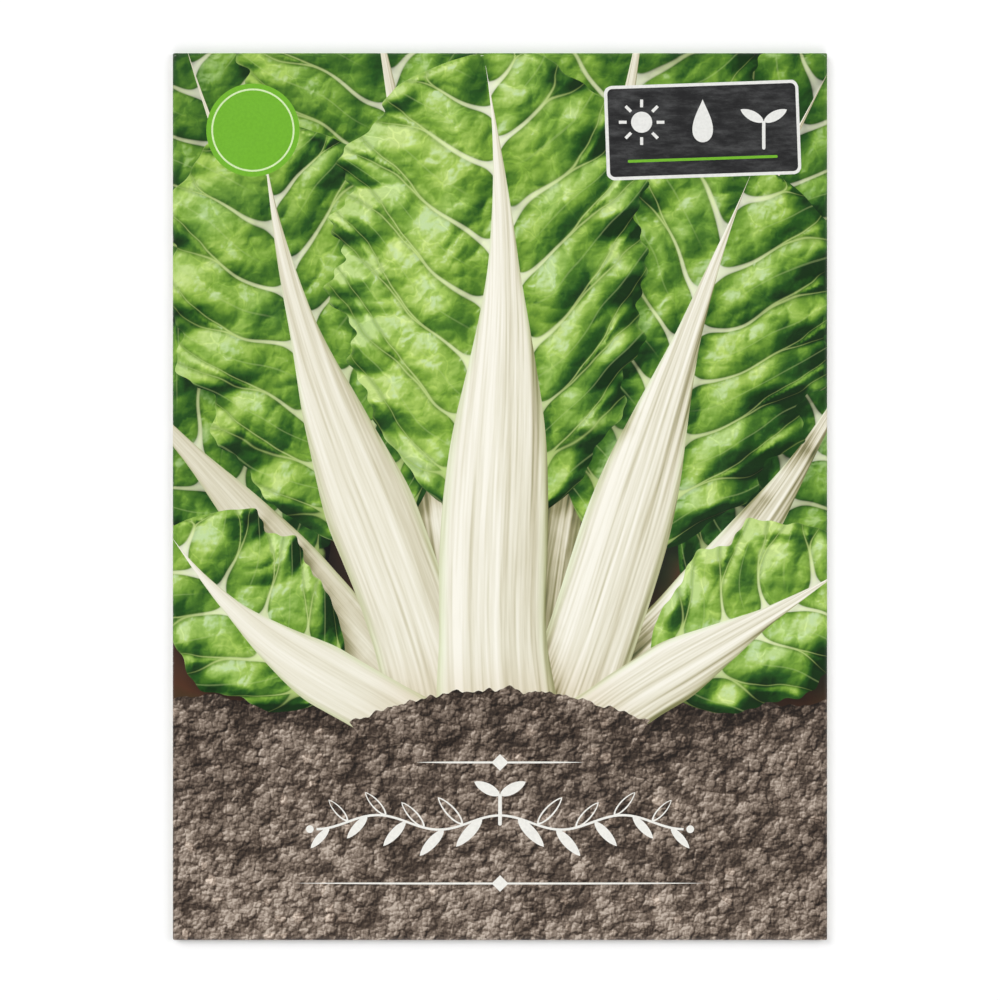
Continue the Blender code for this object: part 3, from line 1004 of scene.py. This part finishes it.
# What a shader node works out over the surface. Each sum or method adds the next node to it.
class Field:
    def __init__(self, tree, socket):
        self.tree, self.socket = tree, socket

    def maths(self, operation, *others):
        return newNode(self.tree, "Math", (self, *others), operation=operation)

    def __add__(self, other):
        return self.maths("ADD", other)

    def __sub__(self, other):
        return self.maths("SUBTRACT", other)

    def __rsub__(self, other):
        return newNode(self.tree, "Math", (other, self), operation="SUBTRACT")

    def __mul__(self, other):
        return self.maths("MULTIPLY", other)

    def __truediv__(self, other):
        return self.maths("DIVIDE", other)

    def __pow__(self, other):
        return self.maths("POWER", other)

    def __abs__(self):
        return self.maths("ABSOLUTE")

    # The sum just made, kept between 0 and 1
    def clamped(self):
        self.socket.node.use_clamp = True
        return self

    def spread(self, low, high, toLow=0.0, toHigh=1.0, kind="SMOOTHSTEP"):
        return newNode(self.tree, "MapRange", (self, low, high, toLow, toHigh), interpolation_type=kind)

    def moved(self, shift):
        return newNode(self.tree, "VectorMath", (self, shift), operation="ADD")

    def scaled(self, scale):
        return newNode(self.tree, "VectorMath", (self, scale), operation="MULTIPLY")

    # A place pushed sideways by slow noise
    def warped(self, scale, reach):
        push = self.grain(scale, 2.0, output=1).moved((-0.5, -0.5, -0.5))
        return self.moved(push.scaled((reach, reach, 0.0)))

    def grain(self, scale, detail=3.0, rough=0.55, output=0):
        values = {"Vector": self, "Scale": scale, "Detail": detail, "Roughness": rough}
        return newNode(self.tree, "TexNoise", values, output)

    def cells(self, scale, feature="F1", output=0):
        return newNode(self.tree, "TexVoronoi", {"Vector": self, "Scale": scale}, output, feature=feature)

    def ramp(self, stops):
        made = newNode(self.tree, "ValToRGB", (self,))
        elements = made.socket.node.color_ramp.elements
        while len(elements) < len(stops):
            elements.new(0.5)
        for element, (place, colour) in zip(elements, stops):
            element.position = place
            element.color = (*colour, 1)
        return made

    def parts(self):
        sockets = newNode(self.tree, "SeparateXYZ", (self,)).socket.node.outputs
        return [Field(self.tree, socket) for socket in sockets]

    def attribute(self, name):
        return newNode(self.tree, "Attribute", output="Vector", attribute_name=name)

    def tinted(self, tint):
        return mixed(1.0, self, tint, "MULTIPLY")

    def grey(self):
        return joined(self, self, self)


def joined(x, y, z):
    return newNode(x.tree, "CombineXYZ", (x, y, z))


# The first colour with a share of the second in its place
def mixed(share, first, second, blend="MIX"):
    tree = next(value.tree for value in (share, first, second) if isinstance(value, Field))
    return newNode(tree, "Mix", {0: share, 6: first, 7: second}, 2, data_type="RGBA", blend_type=blend)


# A node group with named sockets, each with its first value, or None for a place or a normal.
# fill takes what comes in and gives what goes out.
def newGroup(name, inputs, outputs, fill):
    group = bpy.data.node_groups.new(name, "ShaderNodeTree")
    for direction, sockets in (("INPUT", inputs), ("OUTPUT", outputs)):
        for label, value in sockets.items():
            kind = "NodeSocketVector" if value is None else "NodeSocketFloat"
            socket = group.interface.new_socket(label, in_out=direction, socket_type=kind)
            if value:
                socket.default_value = value
    given = [Field(group, socket) for socket in group.nodes.new("NodeGroupInput").outputs]
    for socket, value in zip(group.nodes.new("NodeGroupOutput").inputs, fill(*given[:len(inputs)])):
        link(socket, value)
    return group


# The outputs of a group, by name, in the shader that its Place comes from
def placed(group, **values):
    tree = values["Place"].tree
    node = newNode(tree, "Group", values, node_tree=group).socket.node
    return {socket.name: Field(tree, socket) for socket in node.outputs}


# A surface that is a little uneven: scuffs in its gloss, and a fine grain
def fillGrain(place, scale, roughness, amount):
    scuff = place.grain(scale, 4.0)
    height = scuff * 2.0 + place.grain(scale * 10.0, 2.0)
    bump = newNode(place.tree, "Bump", {"Distance": 0.00004, "Strength": amount, "Height": height})
    return roughness + scuff.spread(0.35, 0.75, -0.03, 0.07), bump


# Where the print is rubbed off to bare paper: thin broken lines along the folds, and the corners
def fillWear(place, amount):
    x, y, _ = place.parts()
    sideEdge, endEdge = packetHigh.x - abs(x), packetHigh.y - abs(y)
    line = sideEdge.maths("MINIMUM", endEdge).spread(0.0, 0.00035, 1.0, 0.0)
    corner = (sideEdge + endEdge).spread(0.0004, 0.0026, 1.0, 0.0)
    broken = place.grain(1300.0, 4.0, 0.7).spread(0.50, 0.80)
    return [(line.maths("MAXIMUM", corner) * broken * amount).clamped()]


# The small bulges of a leaf between its finest veins: their height, and the net of veins
def fillBlisters(place):
    bent = place.warped(0.30, 4.0)
    large, small = (bent.cells(scale, "DISTANCE_TO_EDGE") for scale in (0.16, 0.50))
    height = large.spread(0.0, 0.40) * 1.2 + place.grain(0.5, 2.0) * 0.9 + small.spread(0.0, 0.40) * 0.22
    net = large.spread(0.010, 0.045, 1.0, 0.0).maths("MAXIMUM", small.spread(0.01, 0.075, 0.30, 0.0))
    return height, net


# Clods and crumbs of soil: their height, and a tone of its own for each crumb
def fillClods(place):
    bent = place.warped(0.8, 1.3)
    height, tone = bent.grain(0.22, 3.0, 0.6), bent.grain(3.0, 3.0, 0.6)
    for scale, deep in ((0.27, 2.0), (0.62, 1.52), (1.5, 0.992)):
        height -= bent.cells(scale) ** 1.7 * deep
        tone += bent.cells(scale, output=1).parts()[0] * 0.30
    return height, tone - 0.95


surface = {"Place": None, "Scale": 260.0, "Roughness": 0.34, "Grain": 0.1}
grainGroup = newGroup("surfaceGrain", surface, {"Roughness": 0.0, "Normal": None}, fillGrain)
wearGroup = newGroup("foldWear", {"Place": None, "Amount": 0.5}, {"Wear": 0.0}, fillWear)
blisterGroup = newGroup("blisters", {"Place": None}, {"Height": 0.0, "Net": 0.0}, fillBlisters)
clodGroup = newGroup("clods", {"Place": None}, {"Height": 0.0, "Tone": 0.0}, fillClods)
finish = {"specular": 0.22, "bare": (0.80, 0.78, 0.73)}     # bare is the colour that wear uncovers


# A material: colourOf adds the nodes of its colour and returns the last
def newMaterial(name, colourOf, roughness=0.46, wear=0.5, scale=260.0, fine=0.12):
    material = bpy.data.materials.new(name)
    material.use_nodes = True
    tree = material.node_tree
    shader = tree.nodes["Principled BSDF"]
    shader.inputs["Specular IOR Level"].default_value = finish["specular"]
    place = newNode(tree, "TexCoord", output="Object")
    colour = colourOf(place)
    if wear:
        colour = mixed(placed(wearGroup, Place=place, Amount=wear)["Wear"], colour, finish["bare"])
    link(shader.inputs["Base Color"], colour)
    for name, value in placed(grainGroup, Place=place, Scale=scale, Roughness=roughness, Grain=fine).items():
        link(shader.inputs[name], value)
    return material


# A short step towards the printed light, in millimetres: a bulge is lit where the ground there is lower
lightStep = (-0.20, 0.24, 0)
leafInk = {
    "greens": [                     # from shade to light
        (0.00, (0.003, 0.024, 0.002)), (0.28, (0.014, 0.074, 0.006)), (0.50, (0.064, 0.172, 0.013)),
        (0.70, (0.170, 0.325, 0.032)), (0.88, (0.330, 0.500, 0.090)), (1.00, (0.500, 0.650, 0.210))],
    "patches": (0.72, 0.86, 1.2),
    "net": (1.55, 1.40, 1.6),
    "besideVein": (0.40, 0.48, 0.42),
    "thinVein": (0.42, 0.55, 0.20),
    "veins": [                      # from the midrib to the margin
        (0.00, (0.83, 0.86, 0.67)), (0.22, (0.71, 0.80, 0.44)), (0.55, (0.46, 0.61, 0.19)),
        (1.00, (0.27, 0.42, 0.09))],
    "margin": (0.42, 0.58, 0.18),
    "shine": (0.50, 0.66, 0.40),
    "relief": 0.30,                 # how far the bulges, a shadow and nearness change the light
    "shadow": 0.38,
    "near": 0.44,
    "ribShade": 0.14,
    "veinScale": 9.6,               # turns vein pitches into about millimetres
    "veinHalf": (0.07, 0.42, 0.7),  # half a vein's width at the margin, and its gain inwards and at the rib
}


def leafColour(place):
    ink = leafInk
    phase, fromRib, u = place.attribute("printPlace").parts()
    lit, gloss, shade = place.attribute("printLight").parts()
    tone, fork, _ = place.attribute("printTone").parts()
    own = place.attribute("printOwn")
    side = abs(u)
    here = placed(blisterGroup, Place=own)
    relief = here["Height"] - placed(blisterGroup, Place=own.moved(lightStep))["Height"]
    shaded = relief * ink["relief"] + lit - shade * ink["shadow"] + (tone - 0.60) * ink["near"]
    shaded -= fromRib.spread(0.0, 3.0, ink["ribShade"], 0.0)
    green = shaded.ramp(ink["greens"])
    green = mixed(own.grain(0.07, 2.0).spread(0.35, 0.7) * 0.45, green, ink["patches"], "MULTIPLY")
    green = mixed(here["Net"] * 0.45, green, green.tinted(ink["net"]))

    fract = phase.maths("FRACT")
    fromVein = abs(abs(fract - 0.5) - fork) * ink["veinScale"]
    fromThin = fract.maths("PINGPONG", 0.5) * ink["veinScale"]
    atMargin, inwards, atRib = ink["veinHalf"]
    flare = fromRib.spread(0.0, 3.0, 1.0, 0.0, "LINEAR") ** 3.0
    half = flare * atRib + (1.06 - side).clamped() ** 1.5 * inwards + atMargin
    away = fromVein - half
    thin = fromThin.spread(0.04, 0.26, 0.42, 0.0) * side.spread(0.1, 0.4)
    green = mixed(away.spread(0.0, 0.9, 0.55, 0.0), green, green.tinted(ink["besideVein"]))
    green = mixed(thin, green, mixed(0.55, green, ink["thinVein"]))

    veinLight = (lit - 0.75) * 0.65 + (tone * 0.42 + 0.58 - shade * 0.42)
    crest = (fromVein / half).clamped() ** 2.0
    pale = side.ramp(ink["veins"]).tinted((veinLight - crest * 0.20).grey())
    rim = side.spread(0.972, 1.0, 0.0, 0.34) * shaded.spread(0.1, 0.65)
    green = mixed(rim, green, veinLight.grey().tinted(ink["margin"]))
    shine = (relief * 0.9 + gloss).spread(0.58, 1.15) * (tone * 0.60 + 0.12) * (1.0 - shade).clamped()
    green = mixed(shine, green, ink["shine"])
    return mixed(away.spread(-0.14, 0.14, 1.0, 0.0), green, pale)


stalkInk = {
    "creams": [
        (0.00, (0.070, 0.080, 0.030)), (0.26, (0.26, 0.24, 0.12)), (0.50, (0.55, 0.51, 0.36)),
        (0.74, (0.74, 0.71, 0.58)), (1.00, (0.87, 0.845, 0.75))],
    "edge": (0.66, 0.82, 0.46),
    "foot": (0.74, 0.62, 0.46),
    "round": 0.46,                  # how far its roundness, its ribs and a shadow change the light
    "ribs": 3.4,
    "edgeShade": 0.14,
    "shadow": 0.50,
    "near": 0.30,
}


def stalkColour(place):
    ink = stalkInk
    u, s, half = place.attribute("printPlace").parts()
    leftLit, _, shade = place.attribute("printLight").parts()
    tone = place.attribute("printTone").parts()[0]
    seed = place.attribute("printOwn").parts()[2]
    side, across = abs(u), u * half ** 0.6

    def ribs(shift, stretch=0.010, scale=0.95, rough=0.55):
        return joined(across + shift, s * stretch, seed).grain(scale, 3.0, rough)

    middle, fibres = ribs(0.0), ribs(0.0, 0.016, 4.5, 0.6)
    lean = (middle - ribs(0.16)) * leftLit
    value = side * u * leftLit * ink["round"] + 0.59 - side ** 5.0 * ink["edgeShade"] + lean * ink["ribs"]
    value += middle.spread(0.35, 0.65, -0.10, 0.06) + fibres.spread(0.35, 0.65, -0.05, 0.05)
    value += tone * ink["near"] - shade * ink["shadow"]
    colour = value.ramp(ink["creams"])
    colour = mixed(side.spread(0.78, 1.0, 0.0, 0.45), colour, colour.tinted(ink["edge"]))
    return mixed(s.spread(2.0, 16.0, 0.45, 0.0), colour, colour.tinted(ink["foot"]))


soilInk = {
    "browns": [
        (0.00, (0.012, 0.008, 0.006)), (0.34, (0.055, 0.038, 0.028)), (0.58, (0.145, 0.108, 0.082)),
        (0.80, (0.280, 0.222, 0.176)), (1.00, (0.50, 0.42, 0.35))],
    "relief": 0.42,
    "hollows": (-0.28, 0.09),       # what the deepest and the highest places add to the light
    "crumbs": 0.30,
    "patches": 0.10,
    "shadow": 0.32,
    "pebbles": (0.955, 0.96),
    "pebble": (1.9, 1.9, 1.9),
}


def soilColour(place):
    ink = soilInk
    spot = place.attribute("printPlace")
    shade = place.attribute("printLight").parts()[2]
    clods = placed(clodGroup, Place=spot)
    here = clods["Height"]
    relief = here - placed(clodGroup, Place=spot.moved(lightStep))["Height"]
    value = relief * ink["relief"] + 0.66 + here.spread(-1.9, -0.2, *ink["hollows"])
    value += clods["Tone"] * ink["crumbs"] - shade * ink["shadow"]
    value += spot.grain(0.07).spread(0.3, 0.7, -ink["patches"], ink["patches"])
    value += spot.parts()[1].spread(-80.0, -38.0, 0.05, -0.10)
    soil = value.ramp(ink["browns"])
    pebble = spot.cells(0.62, output=1).parts()[1].spread(*ink["pebbles"])
    return mixed(pebble * 0.45, soil, soil.tinted(ink["pebble"]))


def backdropColour(place):
    shade = place.attribute("printLight").parts()[2]
    dark = place.attribute("printPlace").grain(0.045, 2.0).ramp([
        (0.30, (0.014, 0.009, 0.006)), (0.52, (0.070, 0.026, 0.012)), (0.70, (0.018, 0.040, 0.012))])
    return mixed(shade * 0.75, dark, (0.005, 0.004, 0.003))


# Rubbed chalk dust on a slate
def slateColour(place):
    spot = place.attribute("printPlace")
    dust = spot.scaled((0.16, 0.5, 1.0)).grain(1.0, 5.0, 0.7).spread(0.38, 0.80)
    specks = spot.grain(7.0, 2.0).spread(0.62, 0.80)
    return mixed(specks * 0.22, mixed(dust, *slate["dust"]), slate["specks"])


def flatColour(place):
    speck = place.grain(1800.0).spread(0.3, 0.7, 0.94, 1.03)
    return place.attribute("printTone").tinted(speck.grey())


def backColour(place):
    return mixed(place.grain(900.0, 4.0).spread(0.3, 0.7), (0.76, 0.74, 0.63), (0.84, 0.82, 0.72))


def bareColour(place):
    return mixed(place.grain(1500.0, 5.0, 0.7).spread(0.3, 0.7), (0.78, 0.77, 0.74), (0.88, 0.87, 0.85))


def dressSheet(sheet):
    made = {
        "backdrop": newMaterial("ink backdrop", backdropColour),
        "leaf": newMaterial("ink leaf", leafColour),
        "stalk": newMaterial("ink stalk", stalkColour),
        "soil": newMaterial("ink soil", soilColour),
        "slate": newMaterial("ink slate", slateColour),
        "flat": newMaterial("ink flat", flatColour),
        "backPrint": newMaterial("ink back", backColour, 0.54),
        "insidePaper": newMaterial("paper inside", bareColour, 0.72, 0.0),
        "paperEdge": newMaterial("paper edge", bareColour, 0.80, 0.0),
    }
    for ink in inks:
        sheet.data.materials.append(made[ink])
    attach(sheet, "root")
    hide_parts("paper_packet")


dressSheet(buildSheet())
print("packet dressed")


# The sachet inside: two webs, sealed round the edge by ribbed jaws
sachet = {
    "web": 0.12,
    "seal": 7.0,
    "sealBlend": 10.0,
    "clearance": 0.2,
    "pressed": 0.02,                # between the webs in the seal
    "rib": 0.045,
    "ribPitch": 1.5,
    "wrinkle": 0.10,
    "wrinklePitch": 4,
    "fine": 0.5,                    # the steps of its grid in the seals and between them
    "plain": 2.2,
}


# Places across the sachet, close together in the seals
def stations(low, high):
    seal = np.arange(0, sachet["seal"], sachet["fine"])
    middle = np.arange(low + sachet["seal"], high - sachet["seal"], sachet["plain"])
    return np.concatenate([low + seal, middle, high - seal[::-1]])


def buildWeb(name, node, isFront):
    low, high = (np.array(corner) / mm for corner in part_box("sachet_front_web"))
    columns, rows = stations(low[0], high[0]), stations(low[1], high[1])
    bpy.ops.object.select_all(action="DESELECT")
    bpy.ops.mesh.primitive_grid_add(x_subdivisions=len(columns) - 1, y_subdivisions=len(rows) - 1, size=2)
    web = bpy.context.object
    web.name = name
    at = np.array([v.co for v in web.data.vertices])
    x = columns[np.rint((at[:, 0] + 1) / 2 * (len(columns) - 1)).astype(int)]
    y = rows[np.rint((at[:, 1] + 1) / 2 * (len(rows) - 1)).astype(int)]
    fromEdge = np.minimum(np.minimum(x - low[0], high[0] - x), np.minimum(y - low[1], high[1] - y))
    share = smooth(fromEdge, sachet["seal"], sachet["seal"] + sachet["sealBlend"])
    backWeb = lapLevel + paper / 2 + layerGap / 2 + sachet["web"] / 2
    ribs = sachet["rib"] * np.sin(fromEdge * 2 * math.pi / sachet["ribPitch"])
    z = backWeb + ribs * smooth(share, 0.05, 0.0)
    if isFront:
        pocket = frontLevel + swell(x, y) + crumple(x, y)
        pocket = pocket - paper / 2 - sachet["clearance"] - sachet["web"] / 2
        lift = pocket - backWeb - sachet["web"] - sachet["pressed"]
        wrinkles = 0.6 + noise(x / sachet["wrinklePitch"], y / sachet["wrinklePitch"], 80)
        lift -= sachet["wrinkle"] * wrinkles * (1 - share)
        z = z + sachet["web"] + sachet["pressed"] + lift * share
    web.data.vertices.foreach_set("co", (np.stack([x, y, z], -1) * mm).ravel())
    thick = web.modifiers.new("thick", "SOLIDIFY")
    thick.thickness = sachet["web"] * mm
    thick.offset = 0
    bpy.ops.object.modifier_apply(modifier="thick")
    bpy.ops.object.shade_smooth_by_angle(angle=math.radians(40))
    web.data.materials.append(laminate)
    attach(web, "root")
    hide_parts(node)


def laminateColour(place):
    return mixed(place.grain(70.0).spread(0.3, 0.7), (0.70, 0.70, 0.68), (0.82, 0.82, 0.80))


laminate = newMaterial("sachet laminate", laminateColour, 0.38, 0.0, 180.0, 0.25)
buildWeb("sachet_front", "sachet_front_web", True)
buildWeb("sachet_back", "sachet_back_web", False)
print("sachet sealed")


# The seeds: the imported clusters, split finer, with a shrunken corky skin
seedForm = {"shrink": 0.13, "pitch": 0.75, "fine": 0.5, "finePitch": 0.33}


def corkColour(place):
    cork = mixed(place.grain(600.0, 4.0, 0.6).spread(0.32, 0.68), (0.20, 0.125, 0.06), (0.50, 0.36, 0.20))
    return mixed(place.cells(2600.0).spread(0.10, 0.42), (0.13, 0.08, 0.04), cork)


def growSeed(number, name):
    seed = bpy.data.objects.new("cluster_" + name[-2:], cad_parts[name].data.copy())
    bpy.context.scene.collection.objects.link(seed)
    bpy.ops.object.select_all(action="DESELECT")
    seed.select_set(True)
    bpy.context.view_layer.objects.active = seed
    bpy.ops.object.mode_set(mode="EDIT")
    bpy.ops.mesh.select_all(action="SELECT")
    bpy.ops.mesh.remove_doubles(threshold=0.000001)
    bpy.ops.mesh.subdivide(number_cuts=1)
    bpy.ops.object.mode_set(mode="OBJECT")
    at = np.array([v.co for v in seed.data.vertices]) / mm
    middle = (at.min(0) + at.max(0)) / 2
    u, v = at[:, 0] + 0.6 * at[:, 2], at[:, 1] - 0.5 * at[:, 2]
    f = seedForm
    skin = np.abs(noise(u / f["pitch"], v / f["pitch"], number))
    skin += f["fine"] * np.abs(noise(v / f["finePitch"], u / f["finePitch"], number + 50))
    at = middle + (at - middle) * (1 - f["shrink"] * np.clip(skin, 0, 1))[:, None]
    seed.data.vertices.foreach_set("co", (at * mm).ravel())
    bpy.ops.object.shade_smooth_by_angle(angle=math.radians(55))
    seed.data.materials.clear()
    seed.data.materials.append(cork)
    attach(seed, "root")
    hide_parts(name)


def glueColour(place):
    streaks = place.scaled((900.0, 160.0, 900.0)).grain(1.0)
    return mixed(streaks.spread(0.35, 0.65), (0.74, 0.69, 0.54), (0.88, 0.85, 0.75))


cork = newMaterial("seed cork", corkColour, 0.86, 0.0, 700.0, 0.5)
glue = newMaterial("dried glue", glueColour, 0.30, 0.0, 240.0, 0.3)
seedNames = sorted(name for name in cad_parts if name.startswith("seed_"))
for number, name in enumerate(seedNames):
    growSeed(number, name)
for name in ("seam_glue", "bottom_glue", "top_glue"):
    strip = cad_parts[name]
    strip.data.materials.clear()
    strip.data.materials.append(glue)
print("seeds and glue dressed:", len(seedNames), "seeds")


# The surroundings: a pale floor, and soft light from the sides of the camera
studio = {
    "floorSize": 30.0,
    "floorLevel": -0.00002,
    "floor": (0.94, 0.94, 0.94),
    "lamps": [                      # places and watts
        ((-3.0, 2.75, 3.5), 157.0),
        ((3.5, 1.0, 3.25), 82.0),
        ((0.5, -4.0, 3.0), 75.0),
    ],
    "lampSize": 3.5,
    "world": 0.74,
    "dimZenith": (0.55, 0.92),      # between these heights the sky dims, so that the coated paper stays clear
    "zenith": 0.15,
}


def setStudio():
    bpy.ops.object.select_all(action="DESELECT")
    bpy.ops.mesh.primitive_plane_add(size=studio["floorSize"], location=(0, 0, studio["floorLevel"]))
    floor = bpy.context.object
    floor.name = "floor"
    material = bpy.data.materials.new("floor")
    material.use_nodes = True
    shader = material.node_tree.nodes["Principled BSDF"]
    link(shader.inputs["Base Color"], studio["floor"])
    link(shader.inputs["Roughness"], 0.85)
    floor.data.materials.append(material)
    for at, power in studio["lamps"]:
        turn = (-Vector(at)).to_track_quat("-Z", "Y").to_euler()
        bpy.ops.object.light_add(type="AREA", location=at, rotation=turn)
        bpy.context.object.data.size = studio["lampSize"]
        bpy.context.object.data.energy = power
    world = bpy.data.worlds.new("studio")
    world.use_nodes = True
    upwards = newNode(world.node_tree, "TexCoord", output="Generated").parts()[2]
    background = world.node_tree.nodes["Background"]
    link(background.inputs["Color"], upwards.spread(*studio["dimZenith"], 1.0, studio["zenith"]).grey())
    link(background.inputs["Strength"], studio["world"])
    bpy.context.scene.world = world
    bpy.context.scene.view_settings.view_transform = "Standard"


setStudio()
